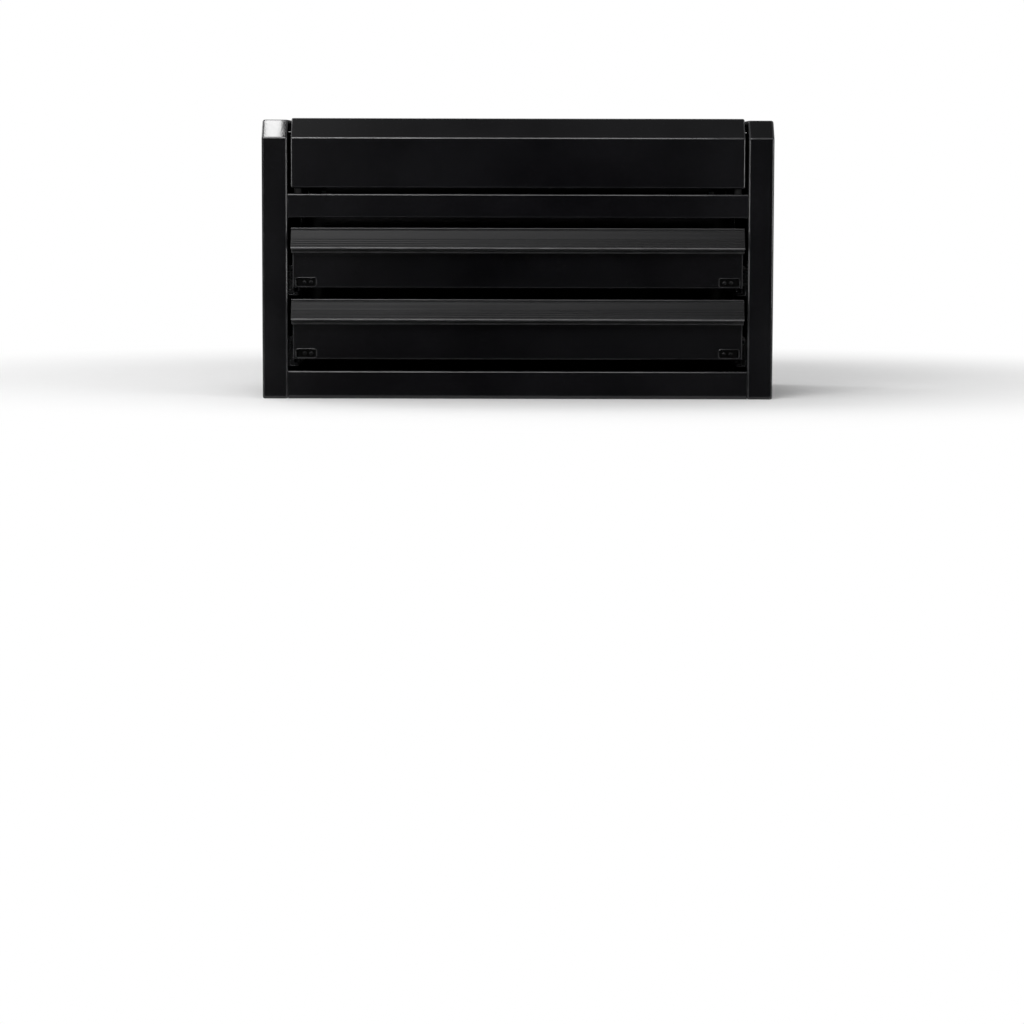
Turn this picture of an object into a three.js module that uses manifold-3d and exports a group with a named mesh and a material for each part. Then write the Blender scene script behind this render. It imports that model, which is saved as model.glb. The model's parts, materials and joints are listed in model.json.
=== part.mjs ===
// Drawer tool box: a top chest of folded steel with two drawers under a hinged lid.
// Millimetres, +X to the right, +Y to the back, +Z up. The front faces -Y and the origin is the
// middle of the overall footprint, at the height of the surface that the chest stands on.
import * as THREE from "three";
import { mergeVertices } from "three/addons/utils/BufferGeometryUtils.js";
import Module from "manifold-3d";

const wasm = await Module();
wasm.setup();

// Sheet steel and fits
const sheet = 1; // thickness of every folded panel
const foldRadius = 1.8; // outer radius of a fold
const seat = 0.3; // clearance between pieces that rest on each other
const overrun = 4; // how far a cutter runs past what it cuts
const weldDistance = 1e-4; // vertices closer than this become one
const straightAngle = 1e-6; // turns smaller than this need no arc

// Case
const caseWidth = 610;
const caseDepth = 305; // posts' front plane to the rear face
const lidTop = 334; // height of the lid's top face
const lidRise = 2; // lid's top above the side panels
const bevelDepth = 23.3; // sloped face along the front top edge, as deep as it is high
const creaseRadius = 3;
const postWidth = 30.5;
const postFold = 2.4; // outer radius of the post's long edges
const postLip = 27; // inner return of the post, which carries the front end of the slides
const topLip = 12; // inner return of the side panel's top flange
const rimWidth = 13; // rear and bottom flanges of the side panel
const trayRim = 12; // turned-up edges of the bottom panel and the till floor

// Front rails
const bottomRailHeight = 33.2;
const topRailBottom = 215.6;
const topRailHeight = 28.7;
const railReturn = 15;

// Lid
const lidGap = 4; // lid's side to the post
const lidBottom = 251;
const lidSkirt = 27; // depth of the side skirts behind the lid's outer faces
const lidReturn = 12; // inward fold at the bottom of the lid's front
const lidRearFlange = 14;
const bumperRadius = 4.5;
const bumperInset = 8; // from the lid's side to the bumper's centre

// Lid hinge
const barrelRadius = 3;
const leafThickness = 1;
const leafHeight = 12; // from the hinge axis to the leaf's lower edge
const axisDrop = 3.5; // hinge axis below the lid's top face
const hingeSetback = 4.5; // lid's side to the end of the hinge
const knuckleTarget = 29; // each knuckle is about this long
const knuckleGap = 0.6;
const knuckleSlot = 0.8; // slot in the leaf beyond the other leaf's barrel
const curlAngle = 285; // degrees of wrap round the pin
const pinRadius = 1.6;

// Gas struts: both pivots lie on one circle round the hinge axis
const strutArm = 104; // hinge axis to either pivot
const casePivotAngle = 6; // degrees forward of straight down from the hinge axis
const lidPivotAngle = 81;
const strutInset = 49; // case's outer side to the strut's centre plane
const tubeRadius = 7.5;
const tubeBore = 6.4;
const tubeEnd = 3; // thickness of the closed end
const guideLength = 8;
const rodRadius = 3;
const pistonLength = 5;
const socketRadius = 6;
const socketHalfWidth = 5;
const socketMouth = 3.1;
const ballRadius = 3.6;
const ballNeck = 2.1;
const studCollar = 4.2;
const neckRadius = 4;
const neckLength = 3;
const rootDepth = 1; // how far a rod or neck runs into its socket
const bracketSheet = 2;
const bracketGap = 0.9; // ball socket's face to the bracket's plate
const bracketHalf = 8; // half the height of a strut bracket's plate
const bracketFoot = 22; // width of the case bracket's foot on the back panel

// Drawers
const frontHeight = 72.1;
const frontGap = 5.5; // drawer front's side to the post
const frontDepth = 14; // folded edges of the drawer front
const faceSetback = 1; // drawer face behind the posts' front plane
const upperFrontBottom = 131.9;
const lowerFrontBottom = 47;
const panRearGap = 32.9; // pan's rear wall to the case's rear face
const panHeight = 58;
const panHem = 6; // inward hem on top of the pan's walls
const panSetback = 3.1; // pan's front wall behind the drawer face
const windowWidth = 23;
const windowHeight = 8.8;
const windowLip = 2.6; // steel left below the corner window
const windowInset = 4.8; // drawer front's side to the window
const windowRadius = 1.4;
const windowRim = 1.6; // width of the rim pressed out round the window
const windowProud = 0.8; // how far the rim stands out of the face
const windowRound = 0.6; // rim's outer edge
const windowFlare = 1.1; // sloped inner edge of the rim

// Corner clips seen in the windows
const clipSheet = 1.4;
const clipHeight = 16;
const clipMargin = 2; // clip's plate past the window
const clipLeg = 10;
const rivetRadius = 2.3;
const rivetHead = 0.9;
const rivetSpacing = 8;

// Drawer pulls, one extrusion along the top of each front
const pullGap = 4.5; // pull's end to the post
const pullDepth = 15; // drawer face to the nose
const pullHeight = 30.2;
const pullFlange = 2.2;
const pullLip = 3.4; // top lip's reach from the drawer face
const pullLipHeight = 2.1;
const pullGrooveDepth = 0.9;
const pullGrooveHeight = 1.2;
const pullWall = 1.8;
const noseDrop = 25.4; // top of the pull to the nose's lower edge
const noseBead = 2.2; // height of the bead at the nose
const noseRound = 0.9; // bead's edges
const lipRound = 0.7; // edges of the lip and of the slope's start
const lineCount = 4; // fine grooves in the lower half of the slope
const linePitch = 2.9;
const lineStart = 2.3; // bead to the first groove's middle
const lineWidth = 1;
const lineDepth = 0.45;
const footBand = 1; // how far the bands at the flange's foot stand out
const footBandHeights = [2.3, 1.2, 1.2]; // lower band, groove, upper band

// Telescopic slides, three nested channels
const slideHeight = 35;
const slideDrop = 9; // slide's lower edge below the drawer front's
const slideSetback = 15.6; // slide's front end behind the posts' front plane
const slideRearGap = 19.4; // slide's rear end to the case's rear face
const slideThickness = 12.7;
const slideSheet = 1.2;
const slideGap = 0.6; // running gap between two members
const raceDepth = 1.1; // ball race pressed into a member's flange
const raceStartShare = 0.24; // of the flange, where the race begins
const raceEndShare = 0.76;
const raceSlope = 0.8;
const slideFold = 0.9;

// Rear uprights that carry the slides' rear ends
const uprightDepth = 26;
const uprightInset = 9; // upright's web in front of the back panel

// Side handles
const handleHeight = 212; // pivot's height
const handlePlateSheet = 1.2;
const handlePlateLength = 116;
const handlePlateHeight = 26;
const handlePlateCorner = 6;
const bailRadius = 2.5;
const bailSpan = 96; // between the centres of the bail's arms
const bailDrop = 38; // pivot to the grip's centre
const bailBend = 7;
const stubEnd = 1; // bail's turned-in end past the ear
const bailStandoff = 3; // handle plate to the bail's centre
const earRadius = 3.9;
const earBoreGap = 0.35;
const earLength = 8;
const earGap = 10; // bend to the ear

// Facets
const foldSteps = 2;
const beadSteps = 3;
const roundSides = 12;
const barrelSteps = 7;
const ballSteps = 5;
const bailSides = 8;
const bailSteps = 44;

// Derived places shared by many pieces
const pullProud = pullDepth + seat - faceSetback;
const frontY = -(caseDepth - pullProud) / 2;
const backY = frontY + caseDepth;
const halfCase = caseWidth / 2;
const sideTop = lidTop - lidRise;
const creaseHeight = lidTop - bevelDepth;
const sideInner = halfCase - sheet;
const postInner = halfCase - postWidth;
const backInner = backY - seat - 2 * sheet;
const trayFront = frontY + railReturn - 2 * sheet;
const tillFloorBottom = topRailBottom + sheet + seat;
const bottomPanelTop = 2 * sheet + seat;
const faceY = frontY + faceSetback;
const halfLid = postInner - lidGap;
const halfFront = postInner - frontGap;
const halfPull = postInner - pullGap;
const halfHinge = halfLid - hingeSetback;
const slideOuterX = postInner - seat;
const slideInnerX = slideOuterX - slideThickness;
const panHalf = slideInnerX - seat;
const hingeY = backInner - seat - barrelRadius;
const hingeZ = lidTop - axisDrop;
const lidRear = hingeY - barrelRadius - seat;
const strutX = halfCase - strutInset;
const pullBack = faceY - seat;
const handleX = halfCase + seat + handlePlateSheet + bailStandoff;
const handleY = (frontY + backY) / 2;
const radians = THREE.MathUtils.degToRad;

// Materials
const paintedSteel = new THREE.MeshStandardMaterial({ color: 0x101012, roughness: 0.38, metalness: 0.3 });
const pullBlack = new THREE.MeshStandardMaterial({ color: 0x2c2c2f, roughness: 0.45, metalness: 0.4 });
const zincSteel = new THREE.MeshStandardMaterial({ color: 0xa9abaf, roughness: 0.35, metalness: 0.9 });
const chromedRod = new THREE.MeshStandardMaterial({ color: 0xd2d4d6, roughness: 0.15, metalness: 1 });
const tubeBlack = new THREE.MeshStandardMaterial({ color: 0x0c0c0d, roughness: 0.3, metalness: 0.3 });
const rubberBlack = new THREE.MeshStandardMaterial({ color: 0x141414, roughness: 0.9, metalness: 0 });

// Solids: every piece is a closed three.js geometry, joined or cut with manifold
function toSolid(geometry) {
  const bare = geometry.clone();
  bare.deleteAttribute("normal");
  bare.deleteAttribute("uv");
  const merged = mergeVertices(bare, weldDistance);
  return new wasm.Manifold(
    new wasm.Mesh({
      numProp: 3,
      vertProperties: new Float32Array(merged.attributes.position.array),
      triVerts: new Uint32Array(merged.index.array),
    }),
  );
}

function toGeometry(solid) {
  const mesh = solid.getMesh();
  const geometry = new THREE.BufferGeometry();
  geometry.setAttribute("position", new THREE.BufferAttribute(mesh.vertProperties, mesh.numProp));
  geometry.setIndex(new THREE.BufferAttribute(mesh.triVerts, 1));
  const flat = geometry.toNonIndexed();
  flat.computeVertexNormals();
  return flat;
}

function join(geometries) {
  const solids = geometries.map(toSolid);
  return toGeometry(solids.reduce((whole, next) => whole.add(next)));
}

function cut(geometry, cutters) {
  const solids = cutters.map(toSolid);
  return toGeometry(solids.reduce((whole, next) => whole.subtract(next), toSolid(geometry)));
}

function common(geometry, other) {
  return toGeometry(toSolid(geometry).intersect(toSolid(other)));
}

// Extrusions of an outline along each axis, with an optional rounded edge at both ends
function extrude(points, depth, round, steps) {
  const shape = new THREE.Shape(points.map(([u, v]) => new THREE.Vector2(u, v)));
  const geometry = new THREE.ExtrudeGeometry(shape, {
    depth: depth - 2 * round,
    bevelEnabled: round > 0,
    bevelThickness: round,
    bevelSize: round,
    bevelOffset: -round,
    bevelSegments: steps,
  });
  return geometry.translate(0, 0, round);
}

function extrudeX(points, from, to, round = 0, steps = foldSteps) {
  const turn = new THREE.Matrix4().makeBasis(
    new THREE.Vector3(0, 1, 0),
    new THREE.Vector3(0, 0, 1),
    new THREE.Vector3(1, 0, 0),
  );
  return extrude(points, to - from, round, steps).applyMatrix4(turn).translate(from, 0, 0);
}

function extrudeY(points, from, to, round = 0, steps = foldSteps) {
  return extrude(points, to - from, round, steps).rotateX(Math.PI / 2).translate(0, to, 0);
}

function extrudeZ(points, from, to, round = 0, steps = foldSteps) {
  return extrude(points, to - from, round, steps).translate(0, 0, from);
}

// Outlines
function rectangle(left, low, right, high) {
  return [
    [left, low],
    [right, low],
    [right, high],
    [left, high],
  ];
}

function unit([x, y]) {
  const length = Math.hypot(x, y);
  return [x / length, y / length];
}

function cornerArc(before, corner, after, radius, steps) {
  const into = unit([corner[0] - before[0], corner[1] - before[1]]);
  const out = unit([after[0] - corner[0], after[1] - corner[1]]);
  const turn = Math.atan2(into[0] * out[1] - into[1] * out[0], into[0] * out[0] + into[1] * out[1]);
  if (radius <= 0 || Math.abs(turn) < straightAngle) return [corner];
  const reach = radius * Math.tan(Math.abs(turn) / 2);
  const side = Math.sign(turn);
  const start = [corner[0] - into[0] * reach, corner[1] - into[1] * reach];
  const centre = [start[0] - into[1] * radius * side, start[1] + into[0] * radius * side];
  const arm = [start[0] - centre[0], start[1] - centre[1]];
  return Array.from({ length: steps + 1 }, (_, i) => {
    const angle = (turn * i) / steps;
    const c = Math.cos(angle);
    const s = Math.sin(angle);
    return [centre[0] + arm[0] * c - arm[1] * s, centre[1] + arm[0] * s + arm[1] * c];
  });
}

function rounded(points, radii, steps = foldSteps) {
  const count = points.length;
  return points.flatMap((corner, i) => {
    const radius = Array.isArray(radii) ? radii[i] : radii;
    return cornerArc(points[(i + count - 1) % count], corner, points[(i + 1) % count], radius, steps);
  });
}

// Moves each side of an anticlockwise outline inward by its own distance
function inset(points, distances) {
  const count = points.length;
  const lines = points.map((from, i) => {
    const to = points[(i + 1) % count];
    const [dx, dy] = unit([to[0] - from[0], to[1] - from[1]]);
    const distance = Array.isArray(distances) ? distances[i] : distances;
    return { x: from[0] - dy * distance, y: from[1] + dx * distance, dx, dy };
  });
  return lines.map((line, i) => {
    const last = lines[(i + count - 1) % count];
    const cross = last.dx * line.dy - last.dy * line.dx;
    const along = ((line.x - last.x) * line.dy - (line.y - last.y) * line.dx) / cross;
    return [last.x + last.dx * along, last.y + last.dy * along];
  });
}

// Section of a folded sheet: the points follow one face, and the sheet lies to their left
function folded(face, thickness, radius, steps = foldSteps) {
  const last = face.length - 1;
  const normals = face.slice(1).map((to, i) => {
    const [dx, dy] = unit([to[0] - face[i][0], to[1] - face[i][1]]);
    return [-dy, dx];
  });
  const other = face.map((point, i) => {
    const before = normals[Math.max(i - 1, 0)];
    const after = normals[Math.min(i, last - 1)];
    const scale = thickness / (1 + before[0] * after[0] + before[1] * after[1]);
    return [point[0] + (before[0] + after[0]) * scale, point[1] + (before[1] + after[1]) * scale];
  });
  const bends = (line, leftRadius, rightRadius) =>
    line.flatMap((point, i) => {
      if (i === 0 || i === last) return [point];
      const turn = normals[i - 1][0] * normals[i][1] - normals[i - 1][1] * normals[i][0];
      return cornerArc(line[i - 1], point, line[i + 1], turn > 0 ? leftRadius : rightRadius, steps);
    });
  const inner = Math.max(radius - thickness, 0);
  return [...bends(face, radius, inner), ...bends(other, inner, radius).reverse()];
}

// A body turned about local Z from radius and height pairs
function turned(profile, sides = roundSides) {
  const points = profile.map(([radius, along]) => new THREE.Vector2(radius, along));
  return new THREE.LatheGeometry(points, sides).rotateX(Math.PI / 2);
}

function rod(radius, from, to, sides = roundSides) {
  return turned(
    [
      [0, from],
      [radius, from],
      [radius, to],
      [0, to],
    ],
    sides,
  );
}

// Case pieces
function sidePanel() {
  const rise = sideTop - creaseHeight;
  const outline = [
    [frontY, 0],
    [backY, 0],
    [backY, sideTop],
    [frontY + rise, sideTop],
    [frontY, creaseHeight],
  ];
  const radii = [0, 0, 0, creaseRadius, creaseRadius];
  const shell = extrudeX(rounded(outline, radii), postInner, halfCase, postFold);
  const hollow = extrudeX(inset(outline, sheet), postInner + sheet, sideInner);
  const rimEdge = halfCase - rimWidth;
  const lipY = frontY + postLip;
  const throughLip = (points) => extrudeX(points, postInner - overrun, postInner + overrun);
  const mouth = common(
    throughLip(inset(outline, [sheet, sheet, topLip, topLip, topLip])),
    throughLip(rectangle(lipY, 0, backY, sideTop)),
  );
  return cut(shell, [
    hollow,
    mouth,
    extrudeX(rectangle(lipY, -overrun, backY + overrun, sheet + overrun), postInner - overrun, rimEdge),
    extrudeX(rectangle(backInner, -overrun, backY + overrun, sideTop - topLip), postInner - overrun, rimEdge),
  ]);
}

function backPanel() {
  const half = sideInner - seat;
  const neck = postInner - seat;
  const low = sheet + seat;
  const shoulder = sideTop - topLip - seat;
  const outline = [
    [-half, low],
    [half, low],
    [half, shoulder],
    [neck, shoulder],
    [neck, sideTop],
    [-neck, sideTop],
    [-neck, shoulder],
    [-half, shoulder],
  ];
  return extrudeY(outline, backInner, backInner + sheet);
}

// The bottom panel and the till floor: trays whose front corners clear the posts
function caseTray(low) {
  const half = sideInner - seat;
  const neck = postInner - seat;
  const shoulder = frontY + postLip + seat;
  const back = backInner - seat;
  const outline = [
    [-neck, trayFront],
    [neck, trayFront],
    [neck, shoulder],
    [half, shoulder],
    [half, back],
    [-half, back],
    [-half, shoulder],
    [-neck, shoulder],
  ];
  const radii = [foldRadius, foldRadius, 0, foldRadius, foldRadius, foldRadius, foldRadius, 0];
  return cut(extrudeZ(rounded(outline, radii), low, low + trayRim), [
    extrudeZ(inset(outline, sheet), low + sheet, low + trayRim + overrun),
  ]);
}

function frontRail(low, height) {
  const face = [
    [frontY + railReturn, low + height],
    [frontY, low + height],
    [frontY, low],
    [frontY + railReturn, low],
  ];
  return extrudeX(folded(face, sheet, foldRadius), -postInner + seat, postInner - seat);
}

function rearUpright() {
  const web = backInner - uprightInset;
  const outer = sideInner - 2 * seat - sheet;
  const face = [
    [outer, web - uprightDepth],
    [outer, web],
    [postInner, web],
    [postInner, web - uprightDepth],
  ];
  return extrudeZ(folded(face, sheet, foldRadius), bottomPanelTop + seat, tillFloorBottom - seat);
}

// Lid
function lidPanel() {
  const contour = [
    [lidRear, lidTop - lidRearFlange],
    [lidRear, lidTop],
    [frontY + bevelDepth, lidTop],
    [frontY, creaseHeight],
    [frontY, lidBottom],
    [frontY + lidReturn, lidBottom],
  ];
  const innerSlant = lidSkirt * Math.tan(Math.PI / 8);
  const skirt = [
    [lidRear, lidTop],
    [frontY + bevelDepth, lidTop],
    [frontY, creaseHeight],
    [frontY, lidBottom],
    [frontY + lidSkirt, lidBottom],
    [frontY + lidSkirt, creaseHeight - innerSlant],
    [frontY + bevelDepth + innerSlant, lidTop - lidSkirt],
    [lidRear, lidTop - lidSkirt],
  ];
  const radii = [foldRadius, creaseRadius, creaseRadius, foldRadius, 0, 0, 0, 0];
  const block = extrudeX(rounded(skirt, radii), -halfLid, halfLid, foldRadius);
  const skin = extrudeX(folded(contour, sheet, foldRadius), -halfLid, halfLid);
  const left = extrudeX(skirt, -halfLid, -halfLid + sheet);
  const right = extrudeX(skirt, halfLid - sheet, halfLid);
  return common(block, join([skin, left, right]));
}

// One leaf of the lid hinge: side 1 lies on the back panel, side -1 on the lid
function hingeLeaf(side) {
  const count = Math.max(3, 2 * Math.floor(halfHinge / knuckleTarget) + 1);
  const pitch = (2 * halfHinge) / count;
  const outer = hingeY + side * barrelRadius;
  const inner = outer - side * leafThickness;
  const low = hingeZ - leafHeight;
  const ring = (radius) =>
    Array.from({ length: barrelSteps + 1 }, (_, i) => {
      const angle = radians(curlAngle * (i / barrelSteps));
      return [hingeY + side * radius * Math.cos(angle), hingeZ + radius * Math.sin(angle)];
    });
  const curlInside = ring(barrelRadius - leafThickness).reverse();
  const curl = [[outer, low], ...ring(barrelRadius), ...curlInside, [inner, low]];
  const slotLow = hingeZ - barrelRadius - knuckleSlot;
  const strip = rectangle(Math.min(outer, inner), low, Math.max(outer, inner), slotLow);
  const pieces = [extrudeX(strip, -halfHinge, halfHinge)];
  for (let i = side > 0 ? 0 : 1; i < count; i += 2) {
    const start = -halfHinge + i * pitch;
    const from = i === 0 ? start : start + knuckleGap / 2;
    const to = i === count - 1 ? start + pitch : start + pitch - knuckleGap / 2;
    pieces.push(extrudeX(curl, from, to));
  }
  return join(pieces);
}

function hingePin() {
  const pin = rod(pinRadius, -halfHinge, halfHinge);
  return pin.rotateY(Math.PI / 2).translate(0, hingeY, hingeZ);
}

function bumper() {
  const low = topRailBottom + topRailHeight + seat;
  const block = rod(bumperRadius, low, lidBottom - seat);
  return block.translate(halfLid - bumperInset, frontY + railReturn / 2, 0);
}

// Gas struts
function pivot(degrees) {
  const angle = radians(degrees);
  return { y: hingeY - strutArm * Math.sin(angle), z: hingeZ - strutArm * Math.cos(angle) };
}

const casePivot = pivot(casePivotAngle);
const lidPivot = pivot(lidPivotAngle);
const strutLength = Math.hypot(lidPivot.y - casePivot.y, lidPivot.z - casePivot.z);
const strutTurn = Math.atan2(casePivot.y - lidPivot.y, lidPivot.z - casePivot.z);
const tubeStart = socketRadius + neckLength;
const tubeLength = strutLength - tubeStart - socketRadius - neckLength;

function ballSocket() {
  const cavity = ballRadius + seat;
  const mouthAngle = Math.asin(socketMouth / cavity);
  const arc = Array.from({ length: ballSteps + 1 }, (_, i) => {
    const angle = mouthAngle + ((Math.PI - mouthAngle) * i) / ballSteps;
    return [i === ballSteps ? 0 : cavity * Math.sin(angle), cavity * Math.cos(angle)];
  });
  return turned([
    [0, -socketHalfWidth],
    [socketRadius, -socketHalfWidth],
    [socketRadius, socketHalfWidth],
    [socketMouth, socketHalfWidth],
    ...arc,
  ]).rotateY(Math.PI / 2);
}

function ballStud(reach) {
  const neckAngle = Math.asin(ballNeck / ballRadius);
  const arc = Array.from({ length: ballSteps + 1 }, (_, i) => {
    const angle = Math.PI - ((Math.PI - neckAngle) * i) / ballSteps;
    return [i === 0 ? 0 : ballRadius * Math.sin(angle), ballRadius * Math.cos(angle)];
  });
  return turned([
    ...arc,
    [ballNeck, reach - bracketSheet],
    [studCollar, reach - bracketSheet],
    [studCollar, reach + bracketSheet / 2],
    [0, reach + bracketSheet / 2],
  ]).rotateY(Math.PI / 2);
}

function strutRod() {
  const end = strutLength - tubeStart - tubeEnd - neckLength;
  const piston = tubeBore - seat;
  const shaft = turned([
    [0, socketRadius - rootDepth],
    [rodRadius, socketRadius - rootDepth],
    [rodRadius, end - pistonLength],
    [piston, end - pistonLength],
    [piston, end],
    [0, end],
  ]);
  return join([ballSocket(), shaft]);
}

function strutTube() {
  const end = tubeStart + tubeLength;
  const mouth = rodRadius + seat;
  const shell = turned([
    [0, socketRadius - rootDepth],
    [neckRadius, socketRadius - rootDepth],
    [neckRadius, tubeStart],
    [tubeRadius, tubeStart],
    [tubeRadius, end],
    [mouth, end],
    [mouth, end - guideLength],
    [tubeBore, end - guideLength],
    [tubeBore, tubeStart + tubeEnd],
    [0, tubeStart + tubeEnd],
  ]);
  return join([ballSocket(), shell]);
}

// Bracket geometries share the strut's centre plane as their local origin
function caseBracket() {
  const reach = socketHalfWidth + bracketSheet + bracketGap;
  const far = reach + bracketSheet;
  const back = backInner - seat - casePivot.y;
  const rimFront = back - sheet - seat;
  const footLow = Math.max(tillFloorBottom + trayRim + seat - casePivot.z, -bracketHalf);
  const footTop = footLow + 2 * bracketHalf;
  const ear = extrudeX(rectangle(-bracketHalf, -bracketHalf, rimFront, footTop), reach, far);
  const neck = extrudeX(rectangle(0, footLow, back, footTop), reach, far);
  const foot = extrudeX(rectangle(back - bracketSheet, footLow, back, footTop), far - bracketFoot, far);
  return join([ear, neck, foot, ballStud(reach)]);
}

function lidBracket() {
  const wall = halfLid - sheet - seat - strutX;
  const reach = wall - bracketSheet;
  const outline = rounded(rectangle(-bracketHalf, -bracketHalf, bracketHalf, bracketHalf), foldRadius);
  return join([extrudeX(outline, reach, wall), ballStud(reach)]);
}

// Drawers, drawn with the drawer front's lower edge at height zero
function drawerFront() {
  const outline = rectangle(-halfFront, 0, halfFront, frontHeight);
  const block = extrudeY(outline, faceY, faceY + frontDepth, foldRadius);
  const hollow = extrudeY(inset(outline, sheet), faceY + sheet, faceY + frontDepth + overrun);
  const outerEdge = halfFront - windowInset;
  const around = (side, margin) => {
    const edges = [side * outerEdge, side * (outerEdge - windowWidth)].sort((a, b) => a - b);
    const low = windowLip - margin;
    const high = windowLip + windowHeight + margin;
    return rounded(rectangle(edges[0] - margin, low, edges[1] + margin, high), windowRadius + margin);
  };
  const crest = faceY - windowProud;
  const sides = [1, -1];
  const rims = sides.map((side) => extrudeY(around(side, windowRim), crest, faceY + sheet, windowRound));
  const flares = sides.map((side) =>
    extrudeY(around(side, windowFlare), crest - overrun, crest + windowFlare, windowFlare, 1),
  );
  const holes = sides.map((side) => extrudeY(around(side, 0), faceY - overrun, faceY + sheet + overrun));
  return cut(join([block, ...rims]), [hollow, ...flares, ...holes]);
}

function drawerPan() {
  const low = sheet + seat;
  const front = faceY + panSetback;
  const back = backY - panRearGap;
  const outline = rectangle(-panHalf, front, panHalf, back);
  const block = extrudeZ(rounded(outline, foldRadius), low, low + panHeight);
  return cut(block, [
    extrudeZ(inset(outline, sheet), low + sheet, low + panHeight - sheet),
    extrudeZ(inset(outline, [sheet, panHem, panHem, panHem]), low + sheet, low + panHeight + overrun),
  ]);
}

function cornerClip() {
  const outerEdge = halfFront - windowInset;
  const inner = outerEdge - windowWidth - clipMargin;
  const plateFront = faceY + sheet + seat;
  const plateBack = plateFront + clipSheet;
  const legX = slideInnerX;
  const low = sheet + seat;
  const outer = legX + clipSheet;
  const plate = extrudeY(rectangle(inner, low, outer, low + clipHeight), plateFront, plateBack);
  const leg = extrudeY(rectangle(legX, low, outer, low + clipHeight), plateFront, plateFront + clipLeg);
  const height = windowLip + windowHeight / 2;
  const middle = outerEdge - windowWidth / 2 - clipMargin;
  const heads = [-1, 1].map((side) =>
    rod(rivetRadius, 0, rivetHead + clipSheet / 2)
      .rotateX(Math.PI / 2)
      .translate(middle + (side * rivetSpacing) / 2, plateFront + clipSheet / 2, height),
  );
  return join([plate, leg, ...heads]);
}

function drawerPull() {
  const top = frontHeight;
  const foot = top - pullHeight;
  const flange = pullBack - pullFlange;
  const slopeTop = top - pullLipHeight - pullGrooveHeight;
  const slopeLow = top - noseDrop + noseBead;
  const nose = pullBack - pullDepth;
  const slopeStart = pullBack - pullLip;
  const run = [nose - slopeStart, slopeLow - slopeTop];
  const [alongY, alongZ] = unit(run);
  const onSlope = (up, depth) => [
    nose - alongY * up - alongZ * depth,
    slopeLow - alongZ * up + alongY * depth,
  ];
  const lines = Array.from({ length: lineCount }, (_, i) => {
    const middle = lineStart + i * linePitch;
    const low = middle - lineWidth / 2;
    const high = middle + lineWidth / 2;
    const section = [
      onSlope(low, 0),
      onSlope(low, -lineDepth),
      onSlope(high, -lineDepth),
      onSlope(high, 0),
      onSlope(middle, lineDepth),
    ];
    return extrudeX(section, -halfPull - overrun, halfPull + overrun);
  });
  const wallShift = pullWall / Math.abs(alongZ);
  const innerAt = (height) => nose + wallShift + ((height - slopeLow) * run[0]) / run[1];
  const pocketTop = slopeTop - pullWall;
  const [lowBand, groove, highBand] = footBandHeights;
  const outline = [
    [pullBack, foot],
    [pullBack, top],
    [slopeStart, top, lipRound],
    [slopeStart, top - pullLipHeight, lipRound],
    [slopeStart + pullGrooveDepth, top - pullLipHeight],
    [slopeStart + pullGrooveDepth, slopeTop],
    [slopeStart, slopeTop, lipRound],
    [nose, slopeLow, noseRound],
    [nose, slopeLow - noseBead, noseRound],
    [nose + wallShift, slopeLow - noseBead],
    [nose + wallShift, slopeLow],
    [Math.min(innerAt(pocketTop), flange - pullWall), pocketTop],
    [flange, pocketTop],
    [flange, foot + lowBand + groove + highBand],
    [flange - footBand, foot + lowBand + groove + highBand],
    [flange - footBand, foot + lowBand + groove],
    [flange, foot + lowBand + groove],
    [flange, foot + lowBand],
    [flange - footBand, foot + lowBand],
    [flange - footBand, foot],
  ];
  const radii = outline.map((corner) => corner[2] ?? 0);
  return cut(extrudeX(rounded(outline, radii, beadSteps), -halfPull, halfPull), lines);
}

// Slides: channels of one section family, drawn with the drawer front's lower edge at height zero
function slideMember(webX, tipX, height, race) {
  const middle = slideHeight / 2 - slideDrop;
  const half = height / 2;
  const reach = tipX - webX;
  const dip = (side) => {
    const edge = middle + side * half;
    const floor = edge - side * race;
    const from = webX + reach * raceStartShare;
    const to = webX + reach * raceEndShare;
    const slope = Math.sign(reach) * raceSlope;
    return [
      [tipX, edge],
      [to + slope, edge],
      [to, floor],
      [from, floor],
      [from - slope, edge],
      [webX, edge],
    ];
  };
  const straight = (side) => [
    [tipX, middle + side * half],
    [webX, middle + side * half],
  ];
  const arm = race > 0 ? dip : straight;
  const face = [...arm(1), ...arm(-1).reverse()];
  const section = folded(reach < 0 ? face.reverse() : face, slideSheet, slideFold, 1);
  return extrudeY(section, frontY + slideSetback, backY - slideRearGap);
}

const outerClear = slideHeight - 2 * slideSheet - 2 * slideGap;
const middleClear = outerClear - 2 * slideSheet - 2 * raceDepth - 2 * slideGap;
const tipX = slideInnerX + slideSheet + slideGap;
const middleWebX = slideOuterX - slideSheet - slideGap;

function slideOuter() {
  return slideMember(slideOuterX, tipX, slideHeight, 0);
}

function slideMiddle() {
  return slideMember(middleWebX, tipX, outerClear, raceDepth);
}

function slideInner() {
  return slideMember(slideInnerX, middleWebX - slideSheet - slideGap, middleClear, raceDepth);
}

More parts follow.
